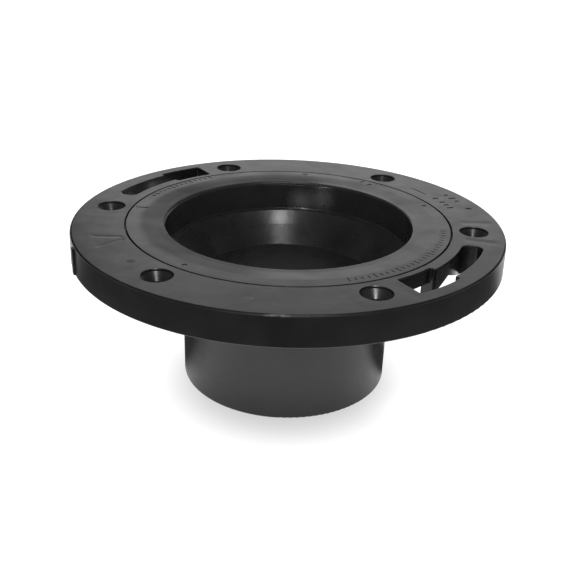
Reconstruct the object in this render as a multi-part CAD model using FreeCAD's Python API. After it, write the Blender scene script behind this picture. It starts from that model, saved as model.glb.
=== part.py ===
import FreeCAD, Part
import math
import os

from FreeCAD import Vector

# A two-piece closet flange that joins a toilet to a drain pipe. The hub is one moulding: a flat lip, a
# wide throat, a funnel and a pipe-size spigot. The swivel ring is the other: it carries the slots for
# the closet bolts and the floor screws, and turns freely under the hub's lip.
# Millimetres and degrees. Z is up, the spigot stands on z = 0 and the shared axis is Z.

# Driving dimensions shared by the two pieces
TOP_Z = 69.4                    # the ring's top face and the lip's top face are flush here
RIM_R = 88.9                    # outside of the ring at its foot, 7 in across
LIP_R = 66.75                   # outside of the hub's lip
LIP_GAP = 0.6                   # visible gap around the lip
LIP_THICKNESS = 3.2
TURNING_GAP = 0.2               # play between the lip's underside and the ring's ledge
THROAT_R = 55.5                 # outside of the throat, which the ring turns around
COLLAR_GAP = 0.4                # play between the throat and the ring's collar
RING_TURN = -6.3                # how far the ring is turned on the hub at rest

# Hub: depths are measured down from the top face
THROAT_BORE_R = 51.2            # 4 in throat
THROAT_RIM_ROUND = 0.9
LIP_EDGE_ROUND = 0.2
DISH_OUTER_R = 61.2             # the lip falls gently between these two radii
DISH_INNER_R = 54.4
DISH_DEPTH = 0.4
DISH_BLEND = 2.0
LEDGE_DEPTH = 13.4
LEDGE_ROUND = 0.25
FUNNEL_TOP_R = 49.2
FUNNEL_TOP_DEPTH = 13.75
FUNNEL_KNEE_R = 44.5
FUNNEL_KNEE_DEPTH = 19.0
FUNNEL_KNEE_BLEND = 3.0
OUTLET_BORE_R = 38.1            # 3 in outlet
OUTLET_DEPTH = 26.9
OUTLET_RIM_ROUND = 0.6
SPIGOT_R = 44.45                # outside of 3 in pipe, 3.5 in across
THROAT_FOOT_DEPTH = 17.4
SPIGOT_TOP_DEPTH = 30.4
TAPER_BLEND = 4.0
SPIGOT_END_ROUND = 0.7

# Snap barbs on the throat, which stop the ring from dropping off
BARB_COUNT = 6
BARB_SPAN = 14.0
BARB_REACH = 1.5
BARB_TOP_DEPTH = 9.3
BARB_NOSE_DEPTH = 10.1
BARB_FOOT_DEPTH = 13.0
BARB_EDGE_ROUND = 0.3

# Ring
RING_HEIGHT = 11.9
RING_TOP_R = 88.6               # the wall draws in a little towards the top
RIM_ROUND = 0.9
RING_EDGE_ROUND = 0.4
RECESS_EDGE_ROUND = 0.2
PLATE_BLEND = 0.8
PLATE_THICKNESS = 6.0
SKIRT_THICKNESS = 3.0
COLLAR_WALL = 3.0
COLLAR_DEPTH = 9.0
RIB_THICKNESS = 2.2
RIB_DEPTH = 11.8
RIM_KEY_ANGLE = 211.2           # a small upright key on the outside of the wall
RIM_KEY_WIDTH = 2.4
RIM_KEY_REACH = 0.6
RIM_KEY_TOP_DEPTH = 1.0
RIM_KEY_FOOT_DEPTH = 11.6
RIM_KEY_ROOT = 2.0

# Screw holes: sunk 90 degree countersinks on a 6 in circle
SCREW_CIRCLE_R = 76.2
SCREW_COUNT = 6
SINK_R = 5.7
SINK_EDGE = 0.3                 # small chamfer around the mouth
SINK_WALL_DEPTH = 0.9           # upright wall above the cone
SHANK_R = 3.0
SHANK_DEPTH = SINK_WALL_DEPTH + SINK_R - SHANK_R
BOSS_R = 8.2
FLANK_ANGLE = 7.7               # a rib each side of every screw boss
V_APEX_R = 66.0
V_HALF_SPREAD = 5.6             # the two arms of a V rib at the wall
V_ANGLES = (30.0, 90.0, 210.0, 270.0)

# Keyhole slots for the closet bolts: a wide mouth and a narrow neck, opposite each other
SLOT_TURNS = (0.0, 180.0)
SLOT_MOUTH_START = 130.0
SLOT_STEP = 144.5
SLOT_NECK_END = 168.0
MOUTH_INNER_R = 70.0
MOUTH_OUTER_R = 82.5
NECK_INNER_R = 72.3
NECK_OUTER_R = 80.3
MOUTH_CORNER = 0.8
STEP_CORNER = 1.0
NECK_CORNER = 3.0
SLOT_EDGE_ROUND = 0.4
NECK_WALL_INNER_R = 66.9        # a wall under the plate, inside the neck
ARCH_ANGLE = 153.3              # the wall has an opening shaped like a tent
ARCH_SLOPE = 20.5
NECK_POST_WIDTH = 2.4
NECK_END_WALL = 2.2             # in degrees

# Engraved marks: two scales on the lip and plain bars elsewhere
MARK_DEPTH = 0.2
RING_LINE_WIDTH = 0.6
SHORT_MARK = 1.8
LONG_MARK = 3.0
LONG_EVERY = 4
BACK_SCALE = {"start": 126.0, "count": 14, "pitch": 2.5, "radius": 64.7, "width": 0.9}
FRONT_SCALE = {"start": 290.0, "count": 27, "pitch": 2.4, "radius": 63.6, "width": 0.5}

# Single marks as rows of radius, angle, length along the radius and width, or dot radius.
# The ring's angles are its own, from the middle of a screw hole.
HUB_BARS = [
    (63.0, 173.0, 5.4, 0.9),
    (63.6, 20.5, 2.2, 1.4),
    (62.6, 53.0, 2.6, 1.6),
    (64.0, 57.5, 3.6, 0.9),
]
HUB_DOTS = [(63.4, 234.6, 1.0), (63.2, 83.5, 1.2)]
RING_BARS = [
    (74.0, 32.6, 2.4, 2.0),
    (74.0, 28.4, 2.6, 1.2),
    (74.0, 25.6, 2.2, 1.2),
    (74.0, 22.6, 3.0, 1.0),
    (81.4, 34.2, 2.0, 1.4),
    (81.4, 30.8, 3.0, 1.6),
    (81.4, 28.0, 2.2, 1.2),
    (81.4, 20.6, 2.4, 1.8),
]
RING_LINE_R = 73.4
RING_LINE_SPAN = (38.0, 45.5)

ORIGIN = Vector(0, 0, 0)
AXIS = Vector(0, 0, 1)
OVERLAP = 0.5                   # how far a rib is sunk into the walls that it joins
CLEAR = 2.0                     # how far a cutter stands out of the surface

RECESS_R = LIP_R + LIP_GAP
RECESS_DEPTH = LIP_THICKNESS + TURNING_GAP
COLLAR_BORE_R = THROAT_R + COLLAR_GAP
COLLAR_R = COLLAR_BORE_R + COLLAR_WALL
SKIRT_INNER_R = RIM_R - SKIRT_THICKNESS


def at_depth(depth):
    return TOP_Z - depth


def corner_arc(before, corner, after, rounding):
    """The start, middle and end of the arc that rounds a corner."""
    back = (before - corner).normalize()
    ahead = (after - corner).normalize()
    half_angle = back.getAngle(ahead) / 2
    bisector = (back + ahead).normalize()
    tangent = rounding / math.tan(half_angle)
    to_centre = rounding / math.sin(half_angle)
    return corner + back * tangent, corner + bisector * (to_centre - rounding), corner + ahead * tangent


def profile(corners):
    """A face in the X-Z plane from rows of radius, height and corner rounding."""
    points = [Vector(radius, 0, z) for radius, z, rounding in corners]
    starts = []
    ends = []
    edges = []
    for i, (radius, z, rounding) in enumerate(corners):
        start = points[i]
        end = points[i]
        if rounding > 0:
            after = points[(i + 1) % len(points)]
            start, middle, end = corner_arc(points[i - 1], points[i], after, rounding)
            edges.append(Part.Arc(start, middle, end).toShape())
        starts.append(start)
        ends.append(end)
    for i, end in enumerate(ends):
        edges.append(Part.LineSegment(end, starts[(i + 1) % len(starts)]).toShape())
    return Part.Face(Part.Wire(Part.__sortEdges__(edges)))


def turned(corners, start=0.0, sweep=360.0):
    """The solid that a profile makes when it turns about the Z axis."""
    solid = profile(corners).revolve(ORIGIN, AXIS, sweep)
    solid.rotate(ORIGIN, AXIS, start)
    return solid


def sector(inner_r, outer_r, low_z, high_z, start, end):
    """A block between two radii, two heights and two angles."""
    corners = [(inner_r, low_z, 0), (outer_r, low_z, 0), (outer_r, high_z, 0), (inner_r, high_z, 0)]
    return turned(corners, start, end - start)


def radial_block(inner_r, outer_r, width, low_z, high_z, angle):
    """A straight block that points away from the axis."""
    block = Part.makeBox(outer_r - inner_r, width, high_z - low_z, Vector(inner_r, -width / 2, low_z))
    block.rotate(ORIGIN, AXIS, angle)
    return block


def engraved_bar(radius, angle, length, width):
    """A cutter for one engraved bar, length along the radius."""
    low_z = at_depth(MARK_DEPTH)
    return radial_block(radius - length / 2, radius + length / 2, width, low_z, TOP_Z + CLEAR, angle)


def engraved_dot(radius, angle, dot_r):
    cutter = Part.makeCylinder(dot_r, MARK_DEPTH + CLEAR, Vector(radius, 0, at_depth(MARK_DEPTH)))
    cutter.rotate(ORIGIN, AXIS, angle)
    return cutter


def scale(start, count, pitch, radius, width):
    """A run of short bars with a long one every few."""
    bars = []
    for i in range(count):
        length = LONG_MARK if i % LONG_EVERY == 0 else SHORT_MARK
        bars.append(engraved_bar(radius, start + i * pitch, length, width))
    return bars


def hub_marks():
    marks = scale(**BACK_SCALE) + scale(**FRONT_SCALE)
    for radius, angle, length, width in HUB_BARS:
        marks.append(engraved_bar(radius, angle, length, width))
    for radius, angle, dot_r in HUB_DOTS:
        marks.append(engraved_dot(radius, angle, dot_r))
    return marks


def ring_marks():
    """A curved line and two rows of bars on the ring."""
    line_z = at_depth(MARK_DEPTH)
    marks = [sector(RING_LINE_R, RING_LINE_R + RING_LINE_WIDTH, line_z, TOP_Z + CLEAR, *RING_LINE_SPAN)]
    for radius, angle, length, width in RING_BARS:
        marks.append(engraved_bar(radius, angle, length, width))
    return marks


def hub_body():
    """Rows of radius, height and rounding, from the throat's rim outwards, down and back up inside."""
    dish_z = at_depth(DISH_DEPTH)
    return turned([
        (THROAT_BORE_R, dish_z, THROAT_RIM_ROUND),
        (DISH_INNER_R, dish_z, DISH_BLEND),
        (DISH_OUTER_R, TOP_Z, DISH_BLEND),
        (LIP_R, TOP_Z, LIP_EDGE_ROUND),
        (LIP_R, at_depth(LIP_THICKNESS), LIP_EDGE_ROUND),
        (THROAT_R, at_depth(LIP_THICKNESS), 0),
        (THROAT_R, at_depth(THROAT_FOOT_DEPTH), TAPER_BLEND),
        (SPIGOT_R, at_depth(SPIGOT_TOP_DEPTH), TAPER_BLEND),
        (SPIGOT_R, 0, SPIGOT_END_ROUND),
        (OUTLET_BORE_R, 0, SPIGOT_END_ROUND),
        (OUTLET_BORE_R, at_depth(OUTLET_DEPTH), OUTLET_RIM_ROUND),
        (FUNNEL_KNEE_R, at_depth(FUNNEL_KNEE_DEPTH), FUNNEL_KNEE_BLEND),
        (FUNNEL_TOP_R, at_depth(FUNNEL_TOP_DEPTH), LEDGE_ROUND),
        (THROAT_BORE_R, at_depth(LEDGE_DEPTH), LEDGE_ROUND),
    ])


def snap_barb(angle):
    root_r = THROAT_R - OVERLAP
    nose_r = THROAT_R + BARB_REACH
    corners = [
        (root_r, at_depth(BARB_TOP_DEPTH), 0),
        (nose_r, at_depth(BARB_TOP_DEPTH), BARB_EDGE_ROUND),
        (nose_r, at_depth(BARB_NOSE_DEPTH), BARB_EDGE_ROUND),
        (THROAT_R, at_depth(BARB_FOOT_DEPTH), 0),
        (root_r, at_depth(BARB_FOOT_DEPTH), 0),
    ]
    return turned(corners, angle - BARB_SPAN / 2, BARB_SPAN)


def make_hub():
    hub = hub_body()
    barbs = [snap_barb(i * 360.0 / BARB_COUNT) for i in range(BARB_COUNT)]
    hub = hub.fuse(barbs)
    hub = hub.cut(hub_marks())
    return hub.removeSplitter()


def ring_body():
    foot_z = at_depth(RING_HEIGHT)
    plate_z = at_depth(PLATE_THICKNESS)
    ledge_z = at_depth(RECESS_DEPTH)
    collar_z = at_depth(COLLAR_DEPTH)
    return turned([
        (RECESS_R, TOP_Z, RECESS_EDGE_ROUND),
        (RING_TOP_R, TOP_Z, RIM_ROUND),
        (RIM_R, foot_z, RING_EDGE_ROUND),
        (SKIRT_INNER_R, foot_z, RING_EDGE_ROUND),
        (SKIRT_INNER_R, plate_z, PLATE_BLEND),
        (COLLAR_R, plate_z, PLATE_BLEND),
        (COLLAR_R, collar_z, RING_EDGE_ROUND),
        (COLLAR_BORE_R, collar_z, RING_EDGE_ROUND),
        (COLLAR_BORE_R, ledge_z, RING_EDGE_ROUND),
        (RECESS_R, ledge_z, 0),
    ])


def radial_rib(angle, outer_r=SKIRT_INNER_R + OVERLAP):
    """A rib under the plate, from the collar outwards."""
    high_z = at_depth(PLATE_THICKNESS - OVERLAP)
    return radial_block(COLLAR_R - OVERLAP, outer_r, RIB_THICKNESS, at_depth(RIB_DEPTH), high_z, angle)


def v_rib_arm(angle, side):
    """One arm of the V between the collar side and the wall."""
    half_spread = math.radians(V_HALF_SPREAD)
    outer_r = SKIRT_INNER_R + OVERLAP
    tip = Vector(outer_r * math.cos(half_spread), side * outer_r * math.sin(half_spread), 0)
    run = tip - Vector(V_APEX_R, 0, 0)
    lean = math.degrees(math.atan2(run.y, run.x))
    low_z = at_depth(RIB_DEPTH)
    height = at_depth(PLATE_THICKNESS - OVERLAP) - low_z
    arm = Part.makeBox(run.Length, RIB_THICKNESS, height, Vector(0, -RIB_THICKNESS / 2, low_z))
    arm.rotate(ORIGIN, AXIS, lean)
    arm.translate(Vector(V_APEX_R, 0, 0))
    arm.rotate(ORIGIN, AXIS, angle)
    return arm


def screw_boss(angle):
    height = RING_HEIGHT - PLATE_THICKNESS + OVERLAP
    boss = Part.makeCylinder(BOSS_R, height, Vector(SCREW_CIRCLE_R, 0, at_depth(RING_HEIGHT)))
    boss.rotate(ORIGIN, AXIS, angle)
    return boss


def screw_hole(angle):
    """The cutter of one screw hole: a chamfered mouth, a short wall, the cone and the shank's hole."""
    mouth_r = SINK_R + SINK_EDGE
    cutter = profile([
        (0, TOP_Z + CLEAR, 0),
        (mouth_r, TOP_Z + CLEAR, 0),
        (mouth_r, TOP_Z, 0),
        (SINK_R, at_depth(SINK_EDGE), 0),
        (SINK_R, at_depth(SINK_WALL_DEPTH), 0),
        (SHANK_R, at_depth(SHANK_DEPTH), 0),
        (SHANK_R, at_depth(RING_HEIGHT) - CLEAR, 0),
        (0, at_depth(RING_HEIGHT) - CLEAR, 0),
    ]).revolve(ORIGIN, AXIS, 360)
    cutter.translate(Vector(SCREW_CIRCLE_R, 0, 0))
    cutter.rotate(ORIGIN, AXIS, angle)
    return cutter


def upright_edges_near(solid, angle):
    """Upright straight edges of a slot cutter that lie at one angle."""
    found = []
    for edge in solid.Edges:
        low = edge.Vertexes[0].Point
        high = edge.Vertexes[-1].Point
        upright = math.hypot(low.x - high.x, low.y - high.y) < 0.01 and abs(low.z - high.z) > 1
        if upright and abs(math.degrees(math.atan2(low.y, low.x)) - angle) < 1:
            found.append(edge)
    return found


def bolt_slot(turn):
    """The cutter of one keyhole slot, right through the ring."""
    low_z = at_depth(RING_HEIGHT) - CLEAR
    high_z = TOP_Z + CLEAR
    mouth = sector(MOUTH_INNER_R, MOUTH_OUTER_R, low_z, high_z, SLOT_MOUTH_START, SLOT_STEP)
    neck = sector(NECK_INNER_R, NECK_OUTER_R, low_z, high_z, SLOT_STEP - 1, SLOT_NECK_END)
    cutter = mouth.fuse(neck).removeSplitter()
    corners = ((SLOT_MOUTH_START, MOUTH_CORNER), (SLOT_STEP, STEP_CORNER), (SLOT_NECK_END, NECK_CORNER))
    for angle, rounding in corners:
        cutter = cutter.makeFillet(rounding, upright_edges_near(cutter, angle))
    cutter.rotate(ORIGIN, AXIS, turn)
    return cutter


def neck_wall(turn):
    """A wall under the plate along the inside of the neck and around its end.

    The long part has a tent-shaped opening up to the plate and a post at the slot's step.
    """
    low_z = at_depth(RIB_DEPTH)
    high_z = at_depth(PLATE_THICKNESS)
    inner_r = NECK_WALL_INNER_R
    outer_r = NECK_INNER_R + OVERLAP
    end_angle = SLOT_NECK_END + NECK_END_WALL
    long_part = sector(inner_r, outer_r, low_z, high_z + OVERLAP, SLOT_STEP, end_angle)
    foot_z = low_z - CLEAR
    half_span = (high_z - foot_z) / math.tan(math.radians(ARCH_SLOPE))
    arch = Part.Face(Part.makePolygon([
        Vector(inner_r - CLEAR, -half_span, foot_z),
        Vector(inner_r - CLEAR, half_span, foot_z),
        Vector(inner_r - CLEAR, 0, high_z),
        Vector(inner_r - CLEAR, -half_span, foot_z),
    ])).extrude(Vector(outer_r - inner_r + 2 * CLEAR, 0, 0))
    arch.rotate(ORIGIN, AXIS, ARCH_ANGLE)
    post_angle = SLOT_STEP + math.degrees(NECK_POST_WIDTH / 2 / inner_r)
    post = radial_block(inner_r, outer_r, NECK_POST_WIDTH, low_z, high_z + OVERLAP, post_angle)
    end_start = SLOT_NECK_END - math.degrees(NECK_CORNER / NECK_INNER_R)
    end_wall = sector(inner_r, NECK_OUTER_R + OVERLAP, low_z, high_z + OVERLAP, end_start, end_angle)
    wall = long_part.cut(arch).fuse([post, end_wall])
    wall.rotate(ORIGIN, AXIS, turn)
    return wall


def ring_ribs():
    """Bosses and ribs under the plate: a rib each side of a boss, a V between, a wall at each slot."""
    ribs = []
    sector_angle = 360.0 / SCREW_COUNT
    for i in range(SCREW_COUNT):
        screw_angle = i * sector_angle
        ribs.append(screw_boss(screw_angle))
        ribs.append(radial_rib(screw_angle - FLANK_ANGLE))
        ribs.append(radial_rib(screw_angle + FLANK_ANGLE))
    for angle in V_ANGLES:
        ribs.append(radial_rib(angle, V_APEX_R + RIB_THICKNESS))
        ribs.append(v_rib_arm(angle, 1))
        ribs.append(v_rib_arm(angle, -1))
    for turn in SLOT_TURNS:
        ribs.append(neck_wall(turn))
    return ribs


def rim_key():
    low_z = at_depth(RIM_KEY_FOOT_DEPTH)
    high_z = at_depth(RIM_KEY_TOP_DEPTH)
    root_r = RIM_R - RIM_KEY_ROOT
    return radial_block(root_r, RIM_R + RIM_KEY_REACH, RIM_KEY_WIDTH, low_z, high_z, RIM_KEY_ANGLE)


def slot_mouth_edges(ring):
    """The edges around both slots in the ring's top face."""
    found = []
    for edge in ring.Edges:
        box = edge.BoundBox
        middle = edge.valueAt((edge.FirstParameter + edge.LastParameter) / 2)
        radius = math.hypot(middle.x, middle.y)
        angle = math.degrees(math.atan2(middle.y, middle.x)) % 180
        flat_on_top = abs(box.ZMin - TOP_Z) < 0.01 and abs(box.ZMax - TOP_Z) < 0.01
        in_slot = MOUTH_INNER_R - 0.5 < radius < MOUTH_OUTER_R + 0.5
        if flat_on_top and in_slot and SLOT_MOUTH_START - 0.5 < angle < SLOT_NECK_END + 0.5:
            found.append(edge)
    return found


def make_ring():
    ring = ring_body().fuse(ring_ribs() + [rim_key()])
    ring = ring.cut([bolt_slot(turn) for turn in SLOT_TURNS])
    ring = ring.removeSplitter()
    ring = ring.makeFillet(SLOT_EDGE_ROUND, slot_mouth_edges(ring))
    ring = ring.cut([screw_hole(i * 360.0 / SCREW_COUNT) for i in range(SCREW_COUNT)] + ring_marks())
    ring.rotate(ORIGIN, AXIS, RING_TURN)
    return ring


os.makedirs("parts", exist_ok=True)
for name, shape in (("flange_hub", make_hub()), ("swivel_ring", make_ring())):
    assert len(shape.Solids) == 1
    solid = shape.Solids[0]
    solid.exportStep("parts/" + name + ".step")
    print(name, "valid", solid.isValid(), "volume", round(solid.Volume))
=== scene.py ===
import math

import bpy
from mathutils import Matrix, Vector


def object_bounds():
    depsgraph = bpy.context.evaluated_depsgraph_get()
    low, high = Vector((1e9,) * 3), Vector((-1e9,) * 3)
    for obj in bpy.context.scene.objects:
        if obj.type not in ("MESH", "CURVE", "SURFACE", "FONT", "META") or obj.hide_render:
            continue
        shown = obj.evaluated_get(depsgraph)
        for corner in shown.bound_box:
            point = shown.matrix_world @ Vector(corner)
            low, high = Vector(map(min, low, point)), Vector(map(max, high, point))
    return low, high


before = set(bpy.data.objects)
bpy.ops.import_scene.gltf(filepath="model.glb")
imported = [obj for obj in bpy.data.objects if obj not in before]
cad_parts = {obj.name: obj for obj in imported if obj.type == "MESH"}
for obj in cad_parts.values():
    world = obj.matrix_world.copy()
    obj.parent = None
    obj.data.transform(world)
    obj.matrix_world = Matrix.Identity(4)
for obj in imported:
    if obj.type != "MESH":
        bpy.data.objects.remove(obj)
cad_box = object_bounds()

# Everything is in metres. Z is up and the drain's axis is Z, as in the frame.
TOP = cad_box[1].z

# The camera stands in front of the flange and looks down on it. Angles are in degrees.
CAMERA_ELEVATION = 20.17
CAMERA_DISTANCE = 0.33265       # from the middle of the ring's top
CAMERA_TILT_DOWN = 5.0
CAMERA_TURN_RIGHT = 0.132
CAMERA_ROLL = 2.02
CAMERA_LENS = 49.65
CAMERA_SENSOR = 36.0
CAMERA_CLIP = (0.01, 20.0)

# Screw holes, ribs, slots and throat, as in the CAD. The ring's own angles start at a screw hole.
RING_TURN = -6.3                # where that hole is, from +X towards +Y
RING_SECTOR = 60.0
SCREW_CIRCLE_R = 0.0762
SINK_R = 0.0062                 # no part of a countersink is further from its middle
SINK_SOFT = 0.0006
FLANK_ANGLE = 7.7               # from a screw hole to the rib on each side of it
V_APEX_R = 0.066
V_HALF_SPREAD = 5.6
SKIRT_R = 0.0859
SLOT_TURN = 150.0
SLOT_REACH_R = 0.0830           # no part of a slot is further out
SLOT_SOFT = 0.0004
THROAT_R = 0.0512               # its bore
THROAT_SOFT = 0.0006

# Relief of the moulded surfaces: the size of its lumps and their depth
GRAIN_FEATURE, GRAIN_DEPTH = 0.0006, 3e-6
WAVE_FEATURE, WAVE_DEPTH = 0.012, 1.2e-4
SWELL_FEATURE, SWELL_DEPTH = 0.035, 4e-4

# Sink marks over the ribs: half-width, depth and the radii between which each end fades in
FLANK_MARK_WIDTH, FLANK_MARK_DEPTH = 0.0034, 1.1e-4
FLANK_MARK_INNER = (0.0705, 0.0740)
FLANK_MARK_OUTER = (0.0870, 0.0830)
V_MARK_WIDTH, V_MARK_DEPTH = 0.0022, 1.4e-4
V_MARK_INNER = (0.0685, 0.0705)
V_MARK_OUTER = (0.0820, 0.0785)

# One mark of each kind is deep, at this angle and within this reach, and the others keep a share of it
DEEP_FLANK_TURN, DEEP_FLANK_REACH, OTHER_FLANKS = 0.0, 25.0, 0.3
DEEP_V_TURN, DEEP_V_REACH, OTHER_VS = 210.0, 18.0, 0.15
NO_V_REACH = 65.0               # the V marks stay this far from the slots, in doubled angles

# The lip's dish steepens towards the throat at the back left, around this angle
DISH_OUTER_R = 0.0640
DISH_BOW = 14.0                 # how fast it steepens, in 1/m
DISH_MIDDLE, DISH_REACH = 131.0, 68.0

# Where handling has dulled the dish: middle angle, reach and the radii between which it fades in
HANDLED_MIDDLE, HANDLED_REACH = 195.0, 75.0
HANDLED_R = (0.0628, 0.0590)

# Depths below the top between which a look fades in
RING_TOP_FADE = (0.0007, 0.0002)
LIP_FADE = (0.0020, 0.0010)
FLECK_FADE = (0.0009, 0.0003)
OPENING_FADE = (0.0003, 0.0009)

# Pale flecks on the ring's top and rim: painted highlights on the front of the rim and of the inner
# edge, and one pale fleck on the top between them. Radius, angle, half-length along the edge,
# half-width
FLECKS = [
    (0.0885, -91.0, 0.0065, 0.0007),
    (0.0779, -99.0, 0.0020, 0.0007),
    (0.0671, -91.0, 0.0060, 0.0007),
]
FLECK_BREAK_FEATURE, FLECK_BREAK_RISE = 0.0030, (0.35, 0.60)
SMUDGE = (0.0752, -138.4, 0.0022, 0.0018)
SPOT_CORE = 0.3                 # squared distance, in half-lengths, within which a spot is full
FULL_SHARE = 0.7                # share of a reach within which a look is full

# Fine wear is specks within patches. Each is a noise that counts only above a level.
WEAR_PATCH_FEATURE, WEAR_PATCH_RISE = 0.013, (0.55, 0.7)
WEAR_SPECK_FEATURE, WEAR_SPECK_RISE = 0.0012, (0.56, 0.72)
RING_WEAR = 0.25                # strength on the ring's top; on the lip it is 1

# The plain tone and roughness of each moulding, and how much mottling, blotches, wear and so on
# change them. Slots and throat are glossier, so their share of the roughness is taken off.
# The ring's extra tone in its countersinks is painted light.
# The ring's worn tone also paints highlights on the front of its rim and of its inner edge.
RING_TONE, RING_TONE_MOTTLE, RING_TONE_HOLE_PAINTED_LIGHT, RING_TONE_WEAR_AND_GLINTS = 0.002, 0.006, 0.006, 0.08
RING_ROUGH, RING_ROUGH_MOTTLE, RING_ROUGH_BLOTCH, RING_ROUGH_WEAR_AND_GLINTS = 0.19, 0.12, 0.16, 0.2
RING_ROUGH_SMUDGE, RING_ROUGH_SLOT, RING_ROUGH_HOLE = 0.12, 0.12, 0.07
RING_MOTTLE_FEATURE, HUB_MOTTLE_FEATURE, BLOTCH_FEATURE = 0.016, 0.014, 0.007
HUB_TONE, HUB_TONE_MOTTLE, HUB_TONE_WORN = 0.006, 0.010, 0.06
HUB_ROUGH, HUB_ROUGH_MOTTLE, HUB_ROUGH_BLOTCH, HUB_ROUGH_WORN = 0.20, 0.10, 0.14, 0.2
HUB_ROUGH_SMEAR, HUB_ROUGH_THROAT, HUB_ROUGH_HANDLED = 0.06, 0.05, 0.14
SMEAR_FEATURE, SMEAR_SQUASH, SMEAR_RISE = 0.02, (1, 1, 0.35), (0.45, 0.7)

# Room and floor. Light levels count the white of the render as 1.
ROOM_LEVEL = 1.0
FLOOR_SIZE = 12.0
FLOOR_TONE = 0.38
FLOOR_MOTTLE_FEATURE, FLOOR_MOTTLE_TONE = 0.4, 0.04
FLOOR_ROUGHNESS, FLOOR_SPECULAR = 0.9, 0.2
FLOOR_GLOW = 0.84
PAPER_FEATURE, PAPER_DEPTH = 0.002, 1e-5

# The floor's shade around the spigot: how far in front of it the middle is, its radii and its level
CONTACT_FORWARD = 0.013
CONTACT_NEAR = 0.030
CONTACT_FAR = 0.059
CONTACT_SHADE = 0.62

# Dim cards just above the floor, which only reflections see: front_flag paints a darker floor into the
# reflections, and under_flag and side_flag paint the ring's shadow on the floor into them. Inner and
# outer radius, start and end angle, soft angle, level
FLAG_Z = 0.0005
FLAGS = {
    "front_flag": (0.15, 1.5, 152.0, 388.0, 12.0, 0.09),
    "under_flag": (0.0440, 0.12, 52.0, 203.0, 24.0, 0.07),
    "side_flag": (0.0440, 0.12, -15.0, 22.0, 10.0, 0.07),
}

# Rectangular lamps: azimuth, elevation, distance, width, height, level, roll
SOFT_BOXES = {
    "back_panel": (85.2, 16.4, 1.5, 1.28, 0.72, 1.1, 10.0),
    "front_panel": (270.0, 24.0, 1.5, 2.4, 0.8, 0.8, 0.0),
    "left_panel": (190.0, 18.0, 1.5, 1.5, 0.6, 0.6, 0.0),
    "right_panel": (-10.0, 18.0, 1.5, 1.5, 0.6, 0.6, 0.0),
    "high_panel": (88.0, 43.0, 1.6, 2.2, 0.55, 0.45, 0.0),
    "top_panel": (270.0, 88.0, 1.6, 2.2, 2.2, 0.13, 0.0),
    "key": (284.0, 65.0, 1.1, 0.18, 0.18, 19.0, 0.0),
    "low_key": (265.0, 36.0, 1.2, 0.12, 0.3, 9.0, 0.0),
}

# Narrow spots: azimuth, elevation, distance, aim from the middle of the top, width in degrees, energy
GLINTS = {
    "throat_glint_right": (240.0, 9.0, 0.5, (0.0154, 0.0488, -0.0070), 1.3, 16.0),
    "throat_glint_left": (258.0, 9.0, 0.5, (0.0055, 0.0509, -0.0090), 1.3, 16.0),
    "near_hole_glint": (272.0, 56.0, 0.8, (0.0306, -0.0680, -0.0030), 0.9, 22.0),
    "left_hole_glint": (272.0, 56.0, 0.8, (-0.0451, -0.0596, -0.0030), 0.9, 4.0),
}
GLINT_LAMP_R = 0.004


def set_input(node, **values):
    """Sets sockets by name, with _ for each space in the name."""
    for name, value in values.items():
        node.inputs[name.replace("_", " ")].default_value = value


def grey(tone):
    return (tone, tone, tone, 1)


def place_camera():
    """Aims at the middle of the ring's top face, then tilts down, turns and rolls."""
    data = bpy.data.cameras.new("camera")
    data.lens = CAMERA_LENS
    data.sensor_width = CAMERA_SENSOR
    data.clip_start, data.clip_end = CAMERA_CLIP
    elevation = math.radians(CAMERA_ELEVATION)
    back = CAMERA_DISTANCE * math.cos(elevation)
    place = Vector((0, -back, TOP + CAMERA_DISTANCE * math.sin(elevation)))
    turn = Matrix.Rotation(math.radians(-CAMERA_TURN_RIGHT), 4, "Z")
    tilt = Matrix.Rotation(math.radians(90 - CAMERA_ELEVATION - CAMERA_TILT_DOWN), 4, "X")
    roll = Matrix.Rotation(math.radians(CAMERA_ROLL), 4, "Z")
    ob = bpy.data.objects.new("camera", data)
    ob.matrix_world = Matrix.Translation(place) @ turn @ tilt @ roll
    bpy.context.scene.collection.objects.link(ob)
    bpy.context.scene.camera = ob


place_camera()


class Field:
    """A value that varies over a surface. Sums and products of fields make the shader's nodes."""

    def __init__(self, tree, socket):
        self.tree = tree
        self.socket = socket

    def math(self, operation, *others):
        node = self.tree.nodes.new("ShaderNodeMath")
        node.operation = operation
        for place, value in enumerate((self,) + others):
            if isinstance(value, Field):
                self.tree.links.new(value.socket, node.inputs[place])
            else:
                node.inputs[place].default_value = value
        return Field(self.tree, node.outputs[0])

    def __add__(self, other):
        return self.math("ADD", other)

    def __sub__(self, other):
        return self.math("SUBTRACT", other)

    def __mul__(self, other):
        return self.math("MULTIPLY", other)

    def size(self):
        return self.math("ABSOLUTE")

    def rise(self, low, high):
        """Goes smoothly from 0 at low to 1 at high, and the other way round if low is above high."""
        node = self.tree.nodes.new("ShaderNodeMapRange")
        node.interpolation_type = "SMOOTHSTEP"
        self.tree.links.new(self.socket, node.inputs["Value"])
        low_out, high_out = (0.0, 1.0) if low < high else (1.0, 0.0)
        set_input(node, From_Min=min(low, high), From_Max=max(low, high))
        set_input(node, To_Min=low_out, To_Max=high_out)
        return Field(self.tree, node.outputs["Result"])

    def dip(self, width):
        """1 where the field is 0, falling to 0 at width on both sides."""
        return self.size().rise(width, 0.0)


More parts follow.
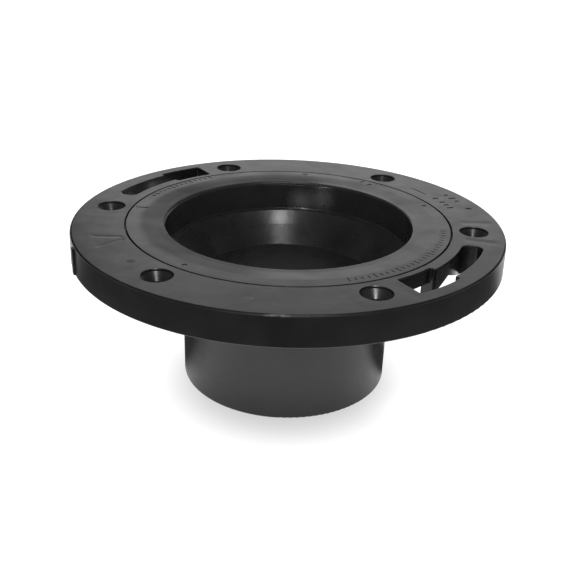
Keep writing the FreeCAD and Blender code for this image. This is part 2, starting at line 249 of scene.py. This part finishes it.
class Surface:
    """A material with the fields that its looks are made of, measured from the drain's axis."""

    def __init__(self, name):
        self.material, self.tree, self.shader = new_material(name)
        coords = self.tree.nodes.new("ShaderNodeTexCoord")
        self.place = coords.outputs["Object"]
        split = self.tree.nodes.new("ShaderNodeSeparateXYZ")
        self.tree.links.new(self.place, split.inputs[0])
        self.x, self.y, self.z = (Field(self.tree, socket) for socket in split.outputs)
        self.radius = (self.x * self.x + self.y * self.y).math("SQRT")
        self.angle = self.y.math("ARCTAN2", self.x)

    def depth(self, fade):
        """Goes from 0 to 1 between two depths below the top."""
        return self.z.rise(TOP - fade[0], TOP - fade[1])

    def noise(self, feature, detail=2.0, seed=0.0, squash=(1, 1, 1)):
        """Noise from 0 to 1, about 0.5 on average. feature is the size of its lumps."""
        mapping = self.tree.nodes.new("ShaderNodeMapping")
        self.tree.links.new(self.place, mapping.inputs["Vector"])
        set_input(mapping, Location=(seed, seed, seed), Scale=squash)
        node = self.tree.nodes.new("ShaderNodeTexNoise")
        set_input(node, Scale=1.0 / feature, Detail=detail, Roughness=0.55)
        self.tree.links.new(mapping.outputs["Vector"], node.inputs["Vector"])
        return Field(self.tree, node.outputs[0])

    def colour(self, tone):
        """Grey of a varying tone."""
        node = self.tree.nodes.new("ShaderNodeCombineColor")
        for socket in node.inputs:
            self.tree.links.new(tone.socket, socket)
        self.tree.links.new(node.outputs[0], self.shader.inputs["Base Color"])

    def spot(self, radius, angle, along, across):
        """1 in the middle of a small oval, falling to 0 at its edge."""
        turn = math.radians(angle)
        x = self.x - radius * math.cos(turn)
        y = self.y - radius * math.sin(turn)
        round_axis = x * (-math.sin(turn) / along) + y * (math.cos(turn) / along)
        out = x * (math.cos(turn) / across) + y * (math.sin(turn) / across)
        return (round_axis * round_axis + out * out).rise(1.0, SPOT_CORE)

    def roughness(self, value):
        self.tree.links.new(value.socket, self.shader.inputs["Roughness"])

    def relief(self, height):
        """Bumps the surface by a height in metres."""
        node = self.tree.nodes.new("ShaderNodeBump")
        set_input(node, Strength=1.0, Distance=1.0)
        self.tree.links.new(height.socket, node.inputs["Height"])
        self.tree.links.new(node.outputs["Normal"], self.shader.inputs["Normal"])


def new_material(name):
    material = bpy.data.materials.new(name)
    material.use_nodes = True
    tree = material.node_tree
    tree.nodes.clear()
    out = tree.nodes.new("ShaderNodeOutputMaterial")
    shader = tree.nodes.new("ShaderNodeBsdfPrincipled")
    tree.links.new(shader.outputs["BSDF"], out.inputs["Surface"])
    return material, tree, shader


def moulded_relief(surface):
    """What both mouldings share: a fine grain and the slow waves of a cooled flat."""
    grain = surface.noise(GRAIN_FEATURE, detail=3.0) * GRAIN_DEPTH
    waves = surface.noise(WAVE_FEATURE, detail=2.0, seed=3.0) * WAVE_DEPTH
    swell = surface.noise(SWELL_FEATURE, detail=1.0, seed=6.0) * SWELL_DEPTH
    return grain + waves + swell


def fine_wear(surface, seed):
    """Tiny pale specks that come in patches."""
    patches = surface.noise(WEAR_PATCH_FEATURE, detail=2.0, seed=seed).rise(*WEAR_PATCH_RISE)
    specks = surface.noise(WEAR_SPECK_FEATURE, detail=3.0, seed=seed + 1.0).rise(*WEAR_SPECK_RISE)
    return patches * specks


def flecks(surface):
    """The pale flecks on the top and its edges, broken up by noise: painted highlights on the front
    edges, and one pale fleck on the top.
    """
    breaks = surface.noise(FLECK_BREAK_FEATURE, detail=2.0, seed=21.0).rise(*FLECK_BREAK_RISE)
    total = surface.spot(*FLECKS[0])
    for fleck in FLECKS[1:]:
        total = total + surface.spot(*fleck)
    return total * breaks * surface.depth(FLECK_FADE)


def from_middle(angle, sector):
    """The angle from the nearest multiple of the sector, in radians."""
    return (angle + (sector / 2 + 2 * math.pi)).math("MODULO", sector) - sector / 2


def turned_towards(angle, middle, reach):
    """1 near the middle angle and 0 further off than the reach, both in degrees."""
    off = (angle - math.radians(middle)).math("COSINE")
    return off.rise(math.cos(math.radians(reach)), math.cos(math.radians(reach * FULL_SHARE)))


def sink_marks(surface, from_hole, turned):
    """Shallow hollows in the ring's top above its ribs, where the thick plastic shrank."""
    radius = surface.radius
    flank = ((from_hole.size() - math.radians(FLANK_ANGLE)) * radius).dip(FLANK_MARK_WIDTH)
    flank = flank * radius.rise(*FLANK_MARK_INNER) * radius.rise(*FLANK_MARK_OUTER)
    from_v = from_middle(turned - math.radians(RING_SECTOR / 2), math.radians(RING_SECTOR))
    lean = (radius - V_APEX_R) * (math.radians(V_HALF_SPREAD) / (SKIRT_R - V_APEX_R))
    arms = ((from_v.size() - lean) * radius).dip(V_MARK_WIDTH)
    arms = arms * radius.rise(*V_MARK_INNER) * radius.rise(*V_MARK_OUTER)
    flank_share = turned_towards(turned, DEEP_FLANK_TURN, DEEP_FLANK_REACH)
    flank_share = flank_share * (1 - OTHER_FLANKS) + OTHER_FLANKS
    v_share = turned_towards(turned, DEEP_V_TURN, DEEP_V_REACH) * (1 - OTHER_VS) + OTHER_VS
    # The two slots are opposite each other, so doubled angles make them one.
    clear_of_slots = turned_towards(turned * 2.0, 2 * SLOT_TURN, NO_V_REACH) * -1.0 + 1.0
    return (flank * flank_share * FLANK_MARK_DEPTH
            + arms * v_share * clear_of_slots * V_MARK_DEPTH)


def ring_plastic():
    """Black plastic of the ring, duller in its countersinks and glossier in its slots."""
    surface = Surface("ring_abs")
    turned = surface.angle + math.radians(-RING_TURN)
    from_hole = from_middle(turned, math.radians(RING_SECTOR))
    radius = surface.radius
    to_hole = (radius * radius + SCREW_CIRCLE_R ** 2
               - radius * from_hole.math("COSINE") * (2 * SCREW_CIRCLE_R))
    in_opening = surface.depth(OPENING_FADE)
    in_hole = to_hole.rise(SINK_R ** 2, (SINK_R - SINK_SOFT) ** 2) * in_opening
    in_slot = radius.rise(SLOT_REACH_R + SLOT_SOFT, SLOT_REACH_R) * in_opening
    on_top = surface.depth(RING_TOP_FADE)
    # Pale marks: painted highlights from the flecks on the front edges, and real fine wear on the top.
    pale_marks = flecks(surface) + fine_wear(surface, 11.0) * on_top * RING_WEAR
    mottle = surface.noise(RING_MOTTLE_FEATURE, detail=3.0, seed=5.0)
    blotches = surface.noise(BLOTCH_FEATURE, detail=4.0, seed=13.0)
    # The countersinks are a little paler: painted light.
    surface.colour(mottle * RING_TONE_MOTTLE + RING_TONE
                   + in_hole * RING_TONE_HOLE_PAINTED_LIGHT + pale_marks * RING_TONE_WEAR_AND_GLINTS)
    surface.roughness(mottle * RING_ROUGH_MOTTLE + blotches * RING_ROUGH_BLOTCH + RING_ROUGH
                      + pale_marks * RING_ROUGH_WEAR_AND_GLINTS + surface.spot(*SMUDGE) * RING_ROUGH_SMUDGE
                      - in_slot * RING_ROUGH_SLOT + in_hole * RING_ROUGH_HOLE)
    surface.relief(moulded_relief(surface) - sink_marks(surface, from_hole, turned) * on_top)
    return surface.material


def hub_plastic():
    """Black plastic of the hub, with the dish's bow, smears on its walls and a glossier throat."""
    surface = Surface("hub_abs")
    radius = surface.radius
    on_lip = surface.depth(LIP_FADE)
    in_throat = radius.rise(THROAT_R + THROAT_SOFT, THROAT_R)
    bow = (radius * -1.0 + DISH_OUTER_R).math("MAXIMUM", 0.0)
    dish = bow * bow * (-0.5 * DISH_BOW) * on_lip
    dish = dish * turned_towards(surface.angle, DISH_MIDDLE, DISH_REACH)
    pale_marks = fine_wear(surface, 17.0) * on_lip
    handled = turned_towards(surface.angle, HANDLED_MIDDLE, HANDLED_REACH)
    handled = handled * radius.rise(*HANDLED_R) * on_lip
    mottle = surface.noise(HUB_MOTTLE_FEATURE, detail=3.0, seed=7.0)
    blotches = surface.noise(BLOTCH_FEATURE, detail=4.0, seed=15.0)
    smears = surface.noise(SMEAR_FEATURE, detail=2.0, seed=9.0, squash=SMEAR_SQUASH).rise(*SMEAR_RISE)
    surface.colour(mottle * HUB_TONE_MOTTLE + HUB_TONE + pale_marks * HUB_TONE_WORN)
    surface.roughness(mottle * HUB_ROUGH_MOTTLE + blotches * HUB_ROUGH_BLOTCH + HUB_ROUGH
                      + smears * HUB_ROUGH_SMEAR + pale_marks * HUB_ROUGH_WORN
                      - in_throat * HUB_ROUGH_THROAT + handled * HUB_ROUGH_HANDLED)
    surface.relief(moulded_relief(surface) + dish)
    return surface.material


def dress(node, material):
    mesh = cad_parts[node].data
    mesh.materials.clear()
    mesh.materials.append(material)


dress("flange_hub", hub_plastic())
dress("swivel_ring", ring_plastic())


def card(name, inner_r, outer_r, z, start, end, steps=48):
    """A flat piece of a ring between two angles in degrees, from +X towards +Y."""
    points = []
    for i in range(steps + 1):
        turn = math.radians(start + (end - start) * i / steps)
        points.append((inner_r * math.cos(turn), inner_r * math.sin(turn), z))
        points.append((outer_r * math.cos(turn), outer_r * math.sin(turn), z))
    faces = [(2 * i, 2 * i + 1, 2 * i + 3, 2 * i + 2) for i in range(steps)]
    mesh = bpy.data.meshes.new(name)
    mesh.from_pydata(points, [], faces)
    ob = bpy.data.objects.new(name, mesh)
    bpy.context.scene.collection.objects.link(ob)
    return ob


def lay_floor():
    """Pale paper whose own glow keeps the shadows faint, with a painted shade around the spigot."""
    bpy.ops.mesh.primitive_plane_add(size=FLOOR_SIZE, location=(0, 0, 0))
    ob = bpy.context.object
    ob.name = "floor"
    surface = Surface("floor_paper")
    forward = surface.y + CONTACT_FORWARD
    off = (surface.x * surface.x + forward * forward).math("SQRT")
    # Painted contact shadow around the spigot, in both the paper's colour and its glow.
    shade = off.rise(CONTACT_NEAR, CONTACT_FAR) * (1 - CONTACT_SHADE) + CONTACT_SHADE
    mottle = surface.noise(FLOOR_MOTTLE_FEATURE, detail=3.0)
    surface.colour((mottle * FLOOR_MOTTLE_TONE + FLOOR_TONE) * shade)
    set_input(surface.shader, Roughness=FLOOR_ROUGHNESS, Specular_IOR_Level=FLOOR_SPECULAR)
    set_input(surface.shader, Emission_Color=grey(1.0))
    surface.tree.links.new((shade * FLOOR_GLOW).socket, surface.shader.inputs["Emission Strength"])
    surface.relief(surface.noise(PAPER_FEATURE, detail=3.0) * PAPER_DEPTH)
    ob.data.materials.append(surface.material)


def lay_flag(name, inner_r, outer_r, start, end, soft, level):
    """A dim card that only reflections see: it keeps the floor's glare off the black plastic. It is a
    painted reflection of a darker floor, and under the ring a painted shadow.

    Its ends brighten to the floor's own glow over an angle of soft degrees.
    """
    ob = card(name, inner_r, outer_r, FLAG_Z, start, end)
    surface = Surface(name)
    half = math.radians(end - start) / 2
    off = from_middle(surface.angle - math.radians(start) - half, 2 * math.pi).size()
    strength = off.rise(half - math.radians(soft), half) * (FLOOR_GLOW - level) + level
    set_input(surface.shader, Base_Color=grey(0.0), Roughness=1.0, Specular_IOR_Level=0.0)
    set_input(surface.shader, Emission_Color=grey(1.0))
    surface.tree.links.new(strength.socket, surface.shader.inputs["Emission Strength"])
    ob.data.materials.append(surface.material)
    ob.visible_camera = False
    ob.visible_diffuse = False
    ob.visible_shadow = False


lay_floor()
for flag_name, flag in FLAGS.items():
    lay_flag(flag_name, *flag)


def lamp(name, kind, azimuth, elevation, distance, aim=(0, 0, 0), roll=0.0):
    """A light aimed at a point given from the middle of the ring's top, with angles in degrees."""
    across = distance * math.cos(math.radians(elevation))
    target = Vector((aim[0], aim[1], TOP + aim[2]))
    place = target + Vector((
        across * math.cos(math.radians(azimuth)),
        across * math.sin(math.radians(azimuth)),
        distance * math.sin(math.radians(elevation)),
    ))
    data = bpy.data.lights.new(name, kind)
    ob = bpy.data.objects.new(name, data)
    look = (target - place).to_track_quat("-Z", "Y").to_matrix().to_4x4()
    turn = Matrix.Rotation(math.radians(roll), 4, "Z")
    ob.matrix_world = Matrix.Translation(place) @ look @ turn
    ob.visible_camera = False
    bpy.context.scene.collection.objects.link(ob)
    return data


def soft_box(name, azimuth, elevation, distance, width, height, level, roll):
    """A rectangular lamp whose face has the brightness given by level."""
    data = lamp(name, "AREA", azimuth, elevation, distance, roll=roll)
    data.shape = "RECTANGLE"
    data.size = width
    data.size_y = height
    data.energy = level * math.pi * width * height


def glint(name, azimuth, elevation, distance, aim, spread, energy):
    """A narrow spot that lays a soft patch of light on one place."""
    data = lamp(name, "SPOT", azimuth, elevation, distance, aim)
    data.spot_size = math.radians(spread)
    data.spot_blend = 1.0
    data.shadow_soft_size = GLINT_LAMP_R
    data.energy = energy


for box_name, box in SOFT_BOXES.items():
    soft_box(box_name, *box)
for glint_name, spot in GLINTS.items():
    glint(glint_name, *spot)

world = bpy.data.worlds.new("studio")
world.use_nodes = True
set_input(world.node_tree.nodes["Background"], Color=grey(1.0), Strength=ROOM_LEVEL)
world.cycles_visibility.glossy = False
bpy.context.scene.world = world
bpy.context.scene.view_settings.view_transform = "Standard"
